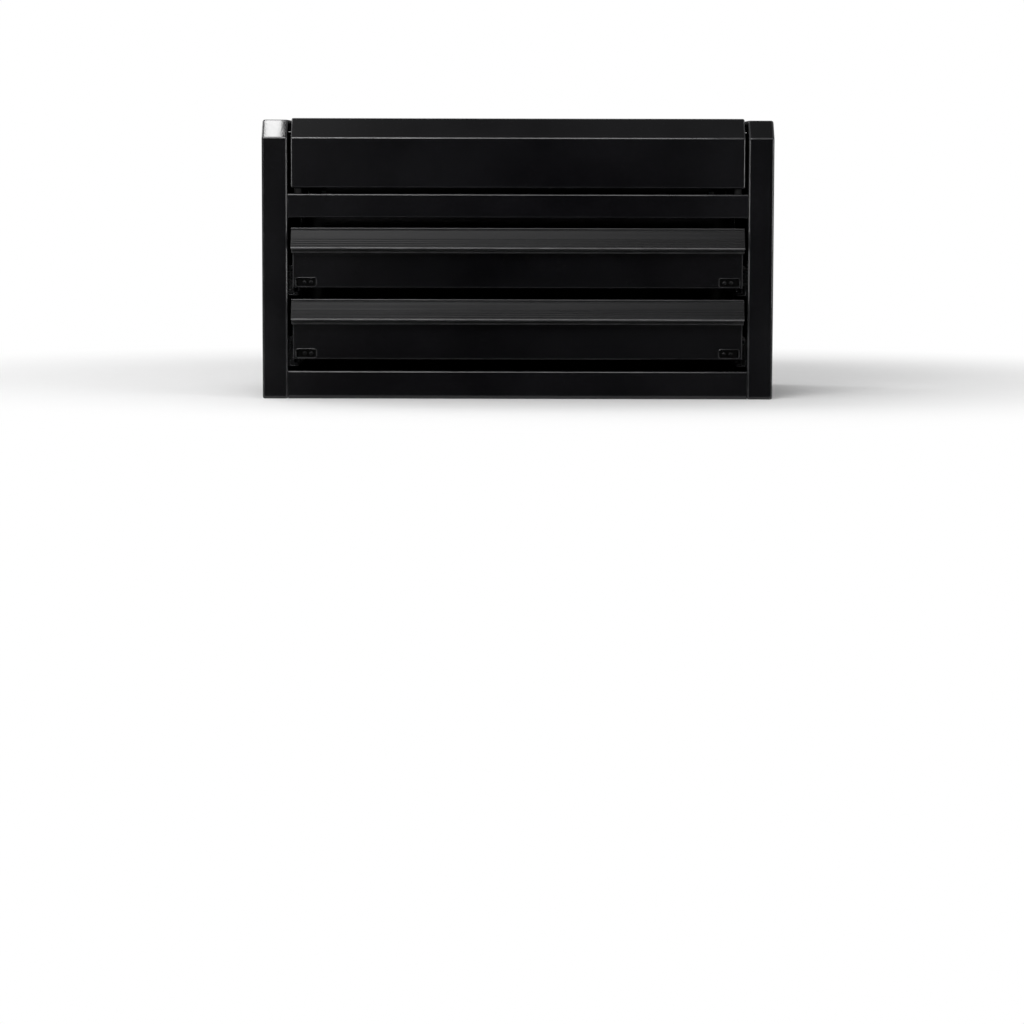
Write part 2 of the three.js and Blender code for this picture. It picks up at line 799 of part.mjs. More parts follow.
// Side handles, drawn round the bail's pivot
function handlePlate() {
  const face = halfCase + seat - handleX;
  const outer = face + handlePlateSheet;
  const halfLength = handlePlateLength / 2;
  const halfHeight = handlePlateHeight / 2;
  const outline = rounded(rectangle(-halfLength, -halfHeight, halfLength, halfHeight), handlePlateCorner);
  const plate = extrudeX(outline, face, outer);
  const bore = bailRadius + earBoreGap;
  const earOut = bailSpan / 2 - bailBend - earGap;
  const pieces = [plate];
  for (const side of [-1, 1]) {
    const from = Math.min(side * earOut, side * (earOut - earLength));
    const to = from + earLength;
    const barrel = rod(earRadius, -to, -from).rotateX(Math.PI / 2);
    const foot = extrudeY(rectangle(face + seat, -earRadius, 0, earRadius), from, to);
    const hole = rod(bore, -to - overrun, -from + overrun).rotateX(Math.PI / 2);
    pieces.push(cut(join([barrel, foot]), [hole]));
  }
  return join(pieces);
}

function bail() {
  const half = bailSpan / 2;
  const bailStub = bailBend + earGap + earLength + stubEnd;
  const at = (y, z) => new THREE.Vector3(0, y, z);
  const path = new THREE.CurvePath();
  const line = (from, to) => path.add(new THREE.LineCurve3(from, to));
  const bend = (from, corner, to) => path.add(new THREE.QuadraticBezierCurve3(from, corner, to));
  line(at(-half + bailStub, 0), at(-half + bailBend, 0));
  bend(at(-half + bailBend, 0), at(-half, 0), at(-half, -bailBend));
  line(at(-half, -bailBend), at(-half, -bailDrop + bailBend));
  bend(at(-half, -bailDrop + bailBend), at(-half, -bailDrop), at(-half + bailBend, -bailDrop));
  line(at(-half + bailBend, -bailDrop), at(half - bailBend, -bailDrop));
  bend(at(half - bailBend, -bailDrop), at(half, -bailDrop), at(half, -bailDrop + bailBend));
  line(at(half, -bailDrop + bailBend), at(half, -bailBend));
  bend(at(half, -bailBend), at(half, 0), at(half - bailBend, 0));
  line(at(half - bailBend, 0), at(half - bailStub, 0));
  const section = Array.from({ length: bailSides }, (_, i) => {
    const angle = (2 * Math.PI * i) / bailSides;
    return new THREE.Vector2(bailRadius * Math.cos(angle), bailRadius * Math.sin(angle));
  });
  return new THREE.ExtrudeGeometry(new THREE.Shape(section), {
    steps: bailSteps,
    bevelEnabled: false,
    extrudePath: path,
  });
}

// Assembly
const toolBox = new THREE.Group();
const caseGroup = new THREE.Group();
const lidGroup = new THREE.Group();
toolBox.add(caseGroup, lidGroup);

function piece(parent, name, geometry, material, place = [0, 0, 0], turn = 0) {
  const mesh = new THREE.Mesh(geometry, material.clone());
  mesh.name = name;
  mesh.position.set(...place);
  mesh.rotation.x = turn;
  parent.add(mesh);
  return mesh;
}

// The right-hand piece and its mirror image on the left
function pair(parent, name, geometry, material, place = [0, 0, 0], turn = 0) {
  piece(parent, `${name}_right`, geometry, material, place, turn);
  const mirrored = piece(parent, `${name}_left`, geometry, material, [-place[0], place[1], place[2]], turn);
  mirrored.scale.x = -1;
}

pair(caseGroup, "side_panel", sidePanel(), paintedSteel);
piece(caseGroup, "back_panel", backPanel(), paintedSteel);
piece(caseGroup, "bottom_panel", caseTray(sheet + seat), paintedSteel);
piece(caseGroup, "till_floor", caseTray(tillFloorBottom), paintedSteel);
piece(caseGroup, "bottom_rail", frontRail(0, bottomRailHeight), paintedSteel);
piece(caseGroup, "top_rail", frontRail(topRailBottom, topRailHeight), paintedSteel);
pair(caseGroup, "rear_upright", rearUpright(), paintedSteel);
pair(caseGroup, "lid_bumper", bumper(), rubberBlack);
piece(caseGroup, "case_hinge_leaf", hingeLeaf(1), paintedSteel);
piece(caseGroup, "hinge_pin", hingePin(), zincSteel);
pair(caseGroup, "case_strut_bracket", caseBracket(), zincSteel, [strutX, casePivot.y, casePivot.z]);
pair(caseGroup, "strut_rod", strutRod(), chromedRod, [strutX, casePivot.y, casePivot.z], strutTurn);
pair(caseGroup, "handle_plate", handlePlate(), zincSteel, [handleX, handleY, handleHeight]);
pair(caseGroup, "bail_handle", bail(), zincSteel, [handleX, handleY, handleHeight]);

piece(lidGroup, "lid_panel", lidPanel(), paintedSteel);
piece(lidGroup, "lid_hinge_leaf", hingeLeaf(-1), paintedSteel);
pair(lidGroup, "lid_strut_bracket", lidBracket(), zincSteel, [strutX, lidPivot.y, lidPivot.z]);
pair(lidGroup, "strut_tube", strutTube(), tubeBlack, [strutX, lidPivot.y, lidPivot.z], strutTurn + Math.PI);

const drawers = { upper: upperFrontBottom, lower: lowerFrontBottom };
for (const [name, height] of Object.entries(drawers)) {
  const drawer = new THREE.Group();
  drawer.position.z = height;
  toolBox.add(drawer);
  piece(drawer, `${name}_drawer_front`, drawerFront(), paintedSteel);
  piece(drawer, `${name}_drawer_pan`, drawerPan(), paintedSteel);
  piece(drawer, `${name}_drawer_pull`, drawerPull(), pullBlack);
  pair(drawer, `${name}_corner_clip`, cornerClip(), zincSteel);
  pair(drawer, `${name}_slide_outer`, slideOuter(), zincSteel);
  pair(drawer, `${name}_slide_middle`, slideMiddle(), zincSteel);
  pair(drawer, `${name}_slide_inner`, slideInner(), zincSteel);
}

export default toolBox;
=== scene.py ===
import json
import math
from functools import partial

import bpy
from mathutils import Matrix, Vector


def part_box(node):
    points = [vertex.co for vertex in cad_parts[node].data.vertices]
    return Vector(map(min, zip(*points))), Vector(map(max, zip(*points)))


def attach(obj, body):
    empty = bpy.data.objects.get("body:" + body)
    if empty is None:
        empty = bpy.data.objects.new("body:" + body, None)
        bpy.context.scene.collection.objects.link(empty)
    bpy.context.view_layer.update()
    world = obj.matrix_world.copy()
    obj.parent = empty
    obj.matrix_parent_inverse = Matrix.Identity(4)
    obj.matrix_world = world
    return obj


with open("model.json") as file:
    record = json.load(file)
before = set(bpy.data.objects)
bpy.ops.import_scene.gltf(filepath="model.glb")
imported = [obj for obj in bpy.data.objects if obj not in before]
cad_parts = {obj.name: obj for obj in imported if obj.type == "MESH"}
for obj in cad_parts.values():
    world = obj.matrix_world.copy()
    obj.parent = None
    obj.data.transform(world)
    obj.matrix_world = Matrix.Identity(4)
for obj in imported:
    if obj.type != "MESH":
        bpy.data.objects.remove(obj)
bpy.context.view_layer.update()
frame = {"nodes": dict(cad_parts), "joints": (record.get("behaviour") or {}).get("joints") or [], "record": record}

NODES = frame["nodes"]
SIDES = (("right", 1), ("left", -1))
DRAWERS = ("upper", "lower")
MM = 0.001
OUT_BACK = (0, 1, 0)
OUT_FRONT = (0, -1, 0)

# Colours of dust, of painted highlights on edges that are partly rubbed paint, and of painted shade in grooves
DUST = (0.16, 0.155, 0.15)
HIGHLIGHT_AND_WEAR_PAINT = (0.055, 0.055, 0.057)
HIGHLIGHT_AND_WEAR_PULL = (0.09, 0.09, 0.092)
CREVICE_SHADE = (0.0015, 0.0015, 0.0015)

# Shading of the solids, angles in degrees
WELD_GAP = 0.002 * MM
FOLD_HALF_WIDTH = 1.2 * MM
PLAIN_HALF_WIDTH = 1.4 * MM
EASED_EDGE = 0.22 * MM
FLAT_ANGLE = 0.5
SHARP_ANGLE = 50
SHARP_ANGLE_ON_PULL = 38

# Rivet heads: radius and height of each kind, in mm
BACK_HINGE_HEAD = (2.1, 0.8)
LEAF_HEAD = (2.1, 0.7)
BACK_HEAD = (2.3, 0.9)
HANDLE_HEAD = (2.4, 1.1)
FOOT_HEAD = (1.9, 0.9)
BRACKET_HEAD = (1.7, 0.8)
SKIRT_HEAD = (1.7, 0.7)
WINDOW_HEAD = (2.45, 1.15)
HEAD_SUNK = 0.3 * MM
HEAD_FOOT = 0.96
HEAD_DOME = (
    (1, 0), (0.97, 0.3), (0.84, 0.66), (0.62, 0.92),
    (0.45, 1), (0.38, 0.97), (0.33, 0.55), (0.12, 0.5),
)

# Rivet rows, each by half length and count, and the sheets that they are set on
HINGE_ROW = (238 * MM, 9)
BACK_ROW = (250 * MM, 5)
LID_ROW_SHIFT = 15 * MM
KNUCKLE_REACH = 3 * MM
LEAF_THICK = 1 * MM
LID_SHEET = 1 * MM

# Rivets of the handles and strut brackets
BAIL_AXIS_TO_PLATE = 3 * MM
HANDLE_INSET = 4.2 * MM
HANDLE_RISE = 6.6 * MM
FOOT_COLUMNS = (247.5 * MM, 261.5 * MM)
FOOT_DROP = 8 * MM
FOOT_PLATE = 2 * MM
BRACKET_INSET = 2.6 * MM
BRACKET_PLATE = 2 * MM
SKIRT_OUTSIDE = 1.3 * MM

# Corner windows of the drawer fronts
WINDOW_INSET = 4.8 * MM
WINDOW_WIDTH = 23 * MM
WINDOW_MIDDLE = 7 * MM
CLIP_MARGIN = 2 * MM
CLIP_PLATE = 0.9 * MM
WINDOW_RIVET_SHIFT = 4 * MM

# Ball rows: place to the side, lift from the slide's middle, first and last y, in mm
BALL_TRACKS = ((267.8, 15.45, 5, 95), (266.95, 12.55, -90, 0))
BALL_RADIUS = 0.78 * MM
BALL_PITCH = 6
CAGE_HALF_WIDTH = 2 * MM
CAGE_HALF_THICK = 0.22 * MM
CAGE_HALF_WINDOW = 1 * MM


# Materials
class Shader:
    """A Principled material made from small node calls, in metres of the piece's own space."""

    def __init__(self, name, slot=None):
        self.material = bpy.data.materials.new(name)
        self.material.use_nodes = True
        self.tree = self.material.node_tree
        self.tree.nodes.clear()
        self.slot = slot
        self.bsdf = self.add("ShaderNodeBsdfPrincipled")
        self.surface = self.add("ShaderNodeOutputMaterial").inputs[0]
        self.tree.links.new(self.bsdf.outputs[0], self.surface)
        self.coordinates = self.add("ShaderNodeTexCoord").outputs
        self.place = self.coordinates["Object"]

    def add(self, kind, **values):
        node = self.tree.nodes.new(kind)
        for key, value in values.items():
            setattr(node, key, value)
        return node

    def put(self, socket, value):
        if isinstance(value, bpy.types.NodeSocket):
            self.tree.links.new(value, socket)
        elif value is not None:
            socket.default_value = value

    def axis(self, kind, letter):
        """One axis of the Object, Normal or Generated coordinates."""
        node = self.add("ShaderNodeSeparateXYZ")
        self.put(node.inputs[0], self.coordinates[kind])
        return node.outputs[letter]

    def stretched(self, x, y, z):
        node = self.add("ShaderNodeMapping")
        self.put(node.inputs["Vector"], self.place)
        node.inputs["Scale"].default_value = (x, y, z)
        return node.outputs[0]

    def noise(self, scale, detail=2.0, rough=0.5, at=None):
        node = self.add("ShaderNodeTexNoise")
        self.put(node.inputs["Vector"], at or self.place)
        node.inputs["Scale"].default_value = scale
        node.inputs["Detail"].default_value = detail
        node.inputs["Roughness"].default_value = rough
        return node.outputs["Fac"]

    def cells(self, scale):
        node = self.add("ShaderNodeTexVoronoi")
        self.put(node.inputs["Vector"], self.place)
        node.inputs["Scale"].default_value = scale
        return node.outputs["Distance"]

    def attribute(self, name):
        return self.add("ShaderNodeAttribute", attribute_name=name).outputs["Fac"]

    def openness(self, distance):
        """1 where nothing stands within the distance, less in grooves and corners."""
        node = self.add("ShaderNodeAmbientOcclusion", samples=8)
        node.inputs["Distance"].default_value = distance
        return node.outputs["AO"]

    def math(self, operation, a, b=None, c=None):
        node = self.add("ShaderNodeMath", operation=operation)
        for socket, value in zip(node.inputs, (a, b, c)):
            self.put(socket, value)
        return node.outputs[0]

    def product(self, total, *factors):
        for factor in factors:
            total = self.math("MULTIPLY", total, factor)
        return total

    def range(self, value, low, high, start=0.0, end=1.0):
        """Goes smoothly from start to end while the value goes from low to high."""
        node = self.add("ShaderNodeMapRange", interpolation_type="SMOOTHSTEP")
        for socket, item in zip(node.inputs, (value, low, high, start, end)):
            self.put(socket, item)
        return node.outputs[0]

    def mix(self, factor, a, b):
        node = self.add("ShaderNodeMix", data_type="RGBA")
        self.put(node.inputs["Factor"], factor)
        self.put(node.inputs[6], (*a, 1) if isinstance(a, tuple) else a)
        self.put(node.inputs[7], (*b, 1) if isinstance(b, tuple) else b)
        return node.outputs[2]

    def bump(self, height, distance, normal=None):
        node = self.add("ShaderNodeBump")
        node.inputs["Distance"].default_value = distance
        self.put(node.inputs["Height"], height)
        self.put(node.inputs["Normal"], normal)
        return node.outputs[0]

    def finish(self, colour, roughness, normal, metallic=0.0):
        self.put(self.bsdf.inputs["Base Color"], colour)
        self.put(self.bsdf.inputs["Roughness"], roughness)
        self.put(self.bsdf.inputs["Normal"], normal)
        self.bsdf.inputs["Metallic"].default_value = metallic
        return self

    def specular(self, level):
        """Sets how much light the bare surface mirrors; 0.5 is usual."""
        self.bsdf.inputs["Specular IOR Level"].default_value = level
        return self


def gloss_paint(name, slot, dark, light, rough):
    """Baked gloss paint: slow drift, orange peel, hairlines, settled dust, and folds lightened as a painted
    highlight that is partly rubbed paint.
    """
    s = Shader(name, slot)
    drift = s.noise(7, 3, 0.55)
    mottle = s.noise(90, 4, 0.6)
    peel = s.noise(420, 2, 0.5)
    grit = s.noise(2300, 1, 0.5)
    hairs = s.range(s.noise(1, 2, 0.5, s.stretched(9, 900, 1700)), 0.62, 0.78)
    dust = s.product(s.range(s.cells(620), 0.16, 0.05), s.range(s.noise(34, 3), 0.52, 0.72))
    highlight_and_wear = s.range(s.noise(60, 3, 0.6), 0.3, 0.7, 0.22, 0.48)
    not_under = s.range(s.axis("Normal", "Z"), -0.25, -0.04)
    colour = s.mix(s.range(drift, 0.3, 0.7), dark, light)
    colour = s.mix(s.product(dust, 0.16), colour, DUST)
    # Folds not facing down are lightened: a painted highlight, partly rubbed paint.
    colour = s.mix(s.product(s.attribute("fold"), highlight_and_wear, not_under), colour, HIGHLIGHT_AND_WEAR_PAINT)
    roughness = s.math("MULTIPLY_ADD", s.range(mottle, 0.25, 0.75), 0.05, rough)
    roughness = s.math("MULTIPLY_ADD", hairs, 0.05, roughness)
    roughness = s.math("MULTIPLY_ADD", dust, 0.3, roughness)
    normal = s.bump(peel, 0.000012)
    normal = s.bump(grit, 0.0000012, normal)
    normal = s.bump(hairs, 0.0000006, normal)
    return s.finish(colour, roughness, normal)


def drawn_pull(name, slot, dark, light, rough):
    """Satin black extrusion: die lines along its length, front edges lightened as a painted highlight that is
    partly rubbed metal, and painted shade in grooves and corners.
    """
    s = Shader(name, slot)
    lines = s.noise(1, 4, 0.7, s.stretched(2.2, 1500, 1500))
    broad = s.noise(1, 2, 0.5, s.stretched(3, 330, 330))
    drift = s.noise(9, 3, 0.5)
    grit = s.noise(1800, 2, 0.6)
    upward = s.axis("Normal", "Z")
    height = s.axis("Generated", "Z")
    open_side = s.openness(3 * MM)
    # The front-facing folds of nose, lip and foot are lightened: a painted highlight, partly rubbed metal.
    front = s.product(s.range(upward, -0.15, -0.05), s.range(upward, 0.4, 0.2))
    slope = s.product(s.range(height, 0.15, 0.165), s.range(height, 0.925, 0.9))
    highlight_and_wear = s.range(s.noise(1, 3, 0.6, s.stretched(40, 400, 400)), 0.3, 0.7, 0.5, 1)
    rub_and_highlight = s.product(highlight_and_wear, s.attribute("fold"), s.range(open_side, 0.8, 0.95))
    rub_and_highlight = s.product(rub_and_highlight, s.math("MULTIPLY_ADD", slope, 0.72, 0.28), front)
    # Grooves and corners are darkened towards near black: painted shade.
    crevice_shade = s.range(open_side, 0.75, 0.5)
    tone = s.math("MULTIPLY_ADD", s.range(lines, 0.28, 0.72), 0.65, s.product(broad, 0.35))
    colour = s.mix(tone, dark, light)
    colour = s.mix(rub_and_highlight, colour, HIGHLIGHT_AND_WEAR_PULL)
    colour = s.mix(crevice_shade, colour, CREVICE_SHADE)
    roughness = s.math("MULTIPLY_ADD", s.range(lines, 0.3, 0.7), 0.08, rough)
    roughness = s.math("MULTIPLY_ADD", drift, 0.04, roughness)
    roughness = s.math("MULTIPLY_ADD", crevice_shade, 0.7, roughness)
    normal = s.bump(lines, 0.00001)
    normal = s.bump(grit, 0.000002, normal)
    return s.finish(colour, roughness, normal)


def plated(name, slot, dark, light, rough, along, metallic=1.0):
    """Plated steel strip: rolling lines along one axis, crystalline mottle and small stains."""
    s = Shader(name, slot)
    lines = s.noise(1, 4, 0.65, s.stretched(*[14 if letter == along else 1300 for letter in "xyz"]))
    spangle = s.cells(480)
    cloud = s.noise(38, 4, 0.6)
    stain = s.range(s.noise(150, 3, 0.6), 0.6, 0.74)
    stained = tuple(0.62 * c for c in dark)
    colour = s.mix(s.range(cloud, 0.3, 0.7), dark, light)
    colour = s.mix(s.product(stain, 0.3), colour, stained)
    roughness = s.math("MULTIPLY_ADD", s.range(lines, 0.3, 0.7), 0.14, rough)
    roughness = s.math("MULTIPLY_ADD", spangle, 0.12, roughness)
    normal = s.bump(lines, 0.00002)
    normal = s.bump(spangle, 0.000004, normal)
    return s.finish(colour, roughness, normal, metallic)


def polished(name, slot, colour, rough):
    """Ground and polished steel: very fine turning marks and a slight haze."""
    s = Shader(name, slot)
    marks = s.noise(1, 3, 0.6, s.stretched(200, 5200, 5200))
    haze = s.noise(70, 3, 0.5)
    hazed = tuple(0.93 * c for c in colour)
    tone = s.mix(s.range(haze, 0.3, 0.7), hazed, colour)
    roughness = s.math("MULTIPLY_ADD", s.range(marks, 0.3, 0.7), 0.06, rough)
    return s.finish(tone, roughness, s.bump(marks, 0.000002), 1.0)


def moulded(name, slot, dark, light, rough):
    """Moulded rubber: fine grain with a bloom."""
    s = Shader(name, slot)
    grain = s.noise(1500, 3, 0.6)
    bloom = s.noise(120, 3, 0.6)
    colour = s.mix(s.range(bloom, 0.35, 0.7), dark, light)
    roughness = s.math("MULTIPLY_ADD", grain, 0.12, rough)
    return s.finish(colour, roughness, s.bump(grain, 0.00004))


PAINT = gloss_paint("black_gloss_paint", "black_paint", dark=(0.0015, 0.0015, 0.0019),
                    light=(0.0036, 0.0036, 0.0042), rough=0.055)
PULL = drawn_pull("satin_pull", "pull_black", dark=(0.0042, 0.0042, 0.0045),
                  light=(0.0102, 0.0102, 0.0107), rough=0.12)
ZINC = plated("zinc_plate", "zinc", dark=(0.43, 0.435, 0.44),
              light=(0.57, 0.575, 0.58), rough=0.2, along="y")
STEEL = plated("slide_steel_plate", "slide_steel", dark=(0.06, 0.062, 0.065),
               light=(0.125, 0.127, 0.13), rough=0.12, along="y")
DARK = plated("black_zinc_plate", "black_zinc", dark=(0.005, 0.005, 0.0055),
              light=(0.011, 0.011, 0.012), rough=0.08, along="y", metallic=0.0).specular(0.3)
# A much darker copy of black zinc for the corner clips, standing in for the shade inside the window recess:
# painted shade.
SHADED_CLIP = plated("clip_plate_painted_shade", "black_zinc", dark=(0.0004, 0.0004, 0.0004),
              light=(0.0016, 0.0016, 0.0017), rough=0.3, along="z", metallic=0.0).specular(0.05)
WORN = plated("worn_black_zinc", "black_zinc", dark=(0.012, 0.012, 0.0125),
              light=(0.04, 0.04, 0.041), rough=0.2, along="z")
CHROME = polished("chromed_rod", "chrome", colour=(0.78, 0.79, 0.8), rough=0.06)
ENAMEL = gloss_paint("tube_enamel", "tube_black", dark=(0.008, 0.008, 0.009),
                     light=(0.013, 0.013, 0.014), rough=0.2)
RUBBER = moulded("bumper_rubber", "rubber", dark=(0.004, 0.004, 0.004),
                 light=(0.009, 0.009, 0.009), rough=0.62).specular(0.1)
BALL = polished("ball_steel", "slide_steel", colour=(0.66, 0.66, 0.67), rough=0.1)
BY_SLOT = {s.slot: s for s in (PAINT, PULL, ZINC, STEEL, DARK, CHROME, ENAMEL, RUBBER)}


# Shading of the carried-over solids
def geometry_group(name, build):
    """A geometry-nodes group with one geometry in and one out."""
    group = bpy.data.node_groups.new(name, "GeometryNodeTree")
    group.interface.new_socket("Geometry", in_out="INPUT", socket_type="NodeSocketGeometry")
    group.interface.new_socket("Geometry", in_out="OUTPUT", socket_type="NodeSocketGeometry")
    start = group.nodes.new("NodeGroupInput")
    end = group.nodes.new("NodeGroupOutput")
    group.links.new(build(group, start.outputs[0]), end.inputs[0])
    return group


def step(group, kind, inputs, **settings):
    """Outputs of a new node; each of its named or numbered inputs gets a value or a link."""
    node = group.nodes.new(kind)
    for key, value in settings.items():
        setattr(node, key, value)
    for socket, value in inputs.items():
        if isinstance(value, bpy.types.NodeSocket):
            group.links.new(value, node.inputs[socket])
        else:
            node.inputs[socket].default_value = value
    return node.outputs


def weld(group, geometry):
    """Drops the stored normals and joins corners that lie on one another."""
    bare = step(group, "GeometryNodeRemoveAttribute", {"Geometry": geometry, "Name": "custom_normal"})[0]
    return step(group, "GeometryNodeMergeByDistance", {"Geometry": bare, "Distance": WELD_GAP})[0]


def mark_folds(group, geometry):
    """Stores 1 as "fold" on the narrow faces that bends and rims are made of."""
    ends = step(group, "GeometryNodeInputMeshEdgeVertices", {})
    between = {0: ends["Position 1"], 1: ends["Position 2"]}
    length = step(group, "ShaderNodeVectorMath", between, operation="DISTANCE")["Value"]
    mean_edge = step(group, "GeometryNodeFieldOnDomain", {0: length}, domain="EDGE", data_type="FLOAT")[0]
    corners = step(group, "GeometryNodeInputMeshFaceNeighbors", {})["Vertex Count"]
    area = step(group, "GeometryNodeInputMeshFaceArea", {})[0]
    outline = step(group, "ShaderNodeMath", {0: mean_edge, 1: corners}, operation="MULTIPLY")[0]
    half_width = step(group, "ShaderNodeMath", {0: area, 1: outline}, operation="DIVIDE")[0]
    limits = {0: half_width, 1: FOLD_HALF_WIDTH, 2: PLAIN_HALF_WIDTH, 3: 1, 4: 0}
    narrow = step(group, "ShaderNodeMapRange", limits)[0]
    stored = {"Geometry": geometry, "Name": "fold", "Value": narrow}
    return step(group, "GeometryNodeStoreNamedAttribute", stored, data_type="FLOAT", domain="FACE")[0]


def smooth_below(limit, group, geometry):
    """Shades faces smoothly, except over edges that bend by more than limit degrees."""
    faces = step(group, "GeometryNodeSetShadeSmooth", {"Geometry": geometry}, domain="FACE")[0]
    angle = step(group, "GeometryNodeInputMeshEdgeAngle", {})["Unsigned Angle"]
    compared = {0: angle, 1: math.radians(limit)}
    sharp = step(group, "FunctionNodeCompare", compared, operation="GREATER_THAN")[0]
    edges = {"Geometry": faces, "Selection": sharp, "Shade Smooth": False}
    return step(group, "GeometryNodeSetShadeSmooth", edges, domain="EDGE")[0]


WELD = geometry_group("weld_corners", weld)
FOLDS = geometry_group("mark_folds", mark_folds)
SMOOTH = geometry_group("smooth_bends", partial(smooth_below, SHARP_ANGLE))
SMOOTH_PULL = geometry_group("smooth_pull", partial(smooth_below, SHARP_ANGLE_ON_PULL))


def dress(obj, shader):
    """Welds a solid's faces, eases its sharp edges and shades its bends smoothly."""
    for slot in obj.material_slots:
        slot.material = shader.material
    obj.modifiers.new("weld", "NODES").node_group = WELD
    flat = obj.modifiers.new("flat", "DECIMATE")
    flat.decimate_type = "DISSOLVE"
    flat.angle_limit = math.radians(FLAT_ANGLE)
    ease = obj.modifiers.new("ease", "BEVEL")
    ease.width = EASED_EDGE
    ease.segments = 2
    ease.limit_method = "ANGLE"
    ease.angle_limit = math.radians(SHARP_ANGLE)
    obj.modifiers.new("smooth", "NODES").node_group = SMOOTH_PULL if shader is PULL else SMOOTH
    if shader in (PAINT, PULL):
        obj.modifiers.new("folds", "NODES").node_group = FOLDS
    weighted = obj.modifiers.new("weighted", "WEIGHTED_NORMAL")
    weighted.keep_sharp = True


def dress_solids():
    for row in frame["record"]["subparts"]:
        # The corner clips take the darker copy of black zinc that paints the window's shade.
        shader = SHADED_CLIP if "corner_clip" in row["node"] else BY_SLOT[row["material_slot"]]
        dress(NODES[row["node"]], shader)


# Small pieces
def mesh_piece(name, verts, faces, shader, body, smooth=True):
    mesh = bpy.data.meshes.new(name)
    mesh.from_pydata(verts, [], faces)
    mesh.materials.append(shader.material)
    if smooth:
        mesh.shade_smooth()
    piece = bpy.data.objects.new(name, mesh)
    bpy.context.scene.collection.objects.link(piece)
    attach(piece, body)


def lathe(profile, centre, axis, sides=20):
    """Vertices and faces of (radius, height) pairs turned about an axis; the ends close on it."""
    axis = Vector(axis).normalized()
    u = axis.orthogonal().normalized()
    v = axis.cross(u)
    verts, faces = [], []
    for radius, height in profile:
        for i in range(sides):
            angle = math.tau * i / sides
            outward = u * math.cos(angle) + v * math.sin(angle)
            verts.append(Vector(centre) + axis * height + outward * radius)
    for ring in range(len(profile) - 1):
        for i in range(sides):
            a, b = ring * sides + i, ring * sides + (i + 1) % sides
            faces.append((a, b, b + sides, a + sides))
    faces.append(tuple(range(sides))[::-1])
    faces.append(tuple((len(profile) - 1) * sides + i for i in range(sides)))
    return verts, faces


def merged(parts):
    verts, faces = [], []
    for more_verts, more_faces in parts:
        start = len(verts)
        verts += [tuple(p) for p in more_verts]
        faces += [tuple(start + i for i in face) for face in more_faces]
    return verts, faces


def spaced(half, count):
    return [half * (2 * i / (count - 1) - 1) for i in range(count)]


def joint_place(name):
    return next(joint for joint in frame["joints"] if joint["name"] == name)["pos_m"]


def rivet(centre, axis, head):
    """Head of a blind rivet with the broken stem's dimple, sunk a little into its sheet."""
    radius, height = head[0] * MM, head[1] * MM
    dome = [(radius * across, height * up) for across, up in HEAD_DOME]
    return lathe([(radius * HEAD_FOOT, -HEAD_SUNK)] + dome, centre, axis)


def rivets(name, spots, axis, head, shader, body):
    mesh_piece(name, *merged([rivet(spot, axis, head) for spot in spots]), shader, body)


def make_hinge_rivets():
    """Rows on the back panel, on both leaves of the lid's hinge and on the lid's rear flange."""
    back_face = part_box("back_panel")[1].y
    leaf_low, leaf_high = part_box("case_hinge_leaf")
    row_height = (leaf_low.z + joint_place("lid_hinge")[2] - KNUCKLE_REACH) / 2
    case_row = spaced(*HINGE_ROW)
    rows = [rivet((x, back_face, row_height), OUT_BACK, BACK_HINGE_HEAD) for x in case_row]
    for node in ("till_floor", "bottom_panel"):
        low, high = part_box(node)
        level = (low.z + high.z) / 2
        rows += [rivet((x, back_face, level), OUT_BACK, BACK_HEAD) for x in spaced(*BACK_ROW)]
    mesh_piece("back_panel_rivets", *merged(rows), PAINT, "case")

    leaf_face = leaf_high.y - LEAF_THICK
    spots = [(x, leaf_face, row_height) for x in case_row]
    rivets("case_leaf_rivets", spots, OUT_FRONT, LEAF_HEAD, PAINT, "case")

    lid_row = [x + LID_ROW_SHIFT for x in case_row[:-1]]
    lid_leaf_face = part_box("lid_hinge_leaf")[0].y + LEAF_THICK
    spots = [(x, lid_leaf_face, row_height) for x in lid_row]
    rivets("lid_leaf_rivets", spots, OUT_BACK, LEAF_HEAD, PAINT, "lid")
    flange_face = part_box("lid_panel")[1].y - LID_SHEET
    spots = [(x, flange_face, row_height) for x in lid_row]
    rivets("lid_flange_rivets", spots, OUT_FRONT, LEAF_HEAD, PAINT, "lid")


def make_handle_rivets(side, sign):
    low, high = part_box(f"handle_plate_{side}")
    pivot = joint_place(f"bail_hinge_{side}")
    face = pivot[0] - sign * BAIL_AXIS_TO_PLATE
    columns = (low.y + HANDLE_INSET, high.y - HANDLE_INSET)
    spots = [(face, y, pivot[2] + rise) for y in columns for rise in (-HANDLE_RISE, HANDLE_RISE)]
    rivets(f"handle_rivets_{side}", spots, (sign, 0, 0), HANDLE_HEAD, DARK, "case")


